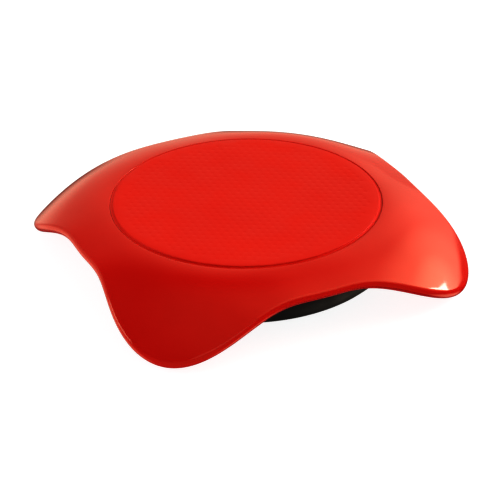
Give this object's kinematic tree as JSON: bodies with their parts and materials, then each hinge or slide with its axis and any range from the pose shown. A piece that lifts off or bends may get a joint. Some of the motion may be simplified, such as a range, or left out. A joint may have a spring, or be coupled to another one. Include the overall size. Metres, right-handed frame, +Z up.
{
  "type": "dish-warming stand",
  "caption": "Low round table stand that keeps a dish warm: anti-slip pad on a red four-lobed draped skirt over a black base bowl.",
  "frame": {"origin": "centre of the plane that the four feet stand on", "axes": "+Z up, square to the pad; the four lobes point along +X, +Y, -X and -Y"},
  "size_m": [0.281, 0.281, 0.041],
  "materials": {
    "pad_rubber": "soft red silicone, satin, with a fine relief of small round dimples",
    "red_shell": "glossy moulded red plastic",
    "red_lining": "moulded red plastic, slightly less glossy than the upper shell",
    "lid_plastic": "black heat-resistant plastic",
    "seal_rubber": "grey silicone",
    "thermal_rubber": "soft filled silicone sheet",
    "core_compound": "dense dark heat-storing compound",
    "cradle_plastic": "natural heat-resistant plastic",
    "felt": "pressed glass-fibre felt",
    "bowl_plastic": "black moulded plastic, satin",
    "foot_rubber": "dark grey silicone",
    "screw_plastic": "natural nylon"
  },
  "bodies": {
    "root": {"contact_pad": "pad_rubber", "outer_skin": "red_shell", "under_skin": "red_lining", "top_plate": "lid_plastic", "seal_ring": "seal_rubber", "thermal_sheet": "thermal_rubber", "heat_core": "core_compound", "core_cradle": "cradle_plastic", "insulation_disc": "felt", "insulation_ring": "felt", "base_bowl": "bowl_plastic", "vent_plug": "foot_rubber", "foot_east": "foot_rubber", "foot_north": "foot_rubber", "foot_west": "foot_rubber", "foot_south": "foot_rubber", "base_screws": "screw_plastic"}
  },
  "joints": []
}
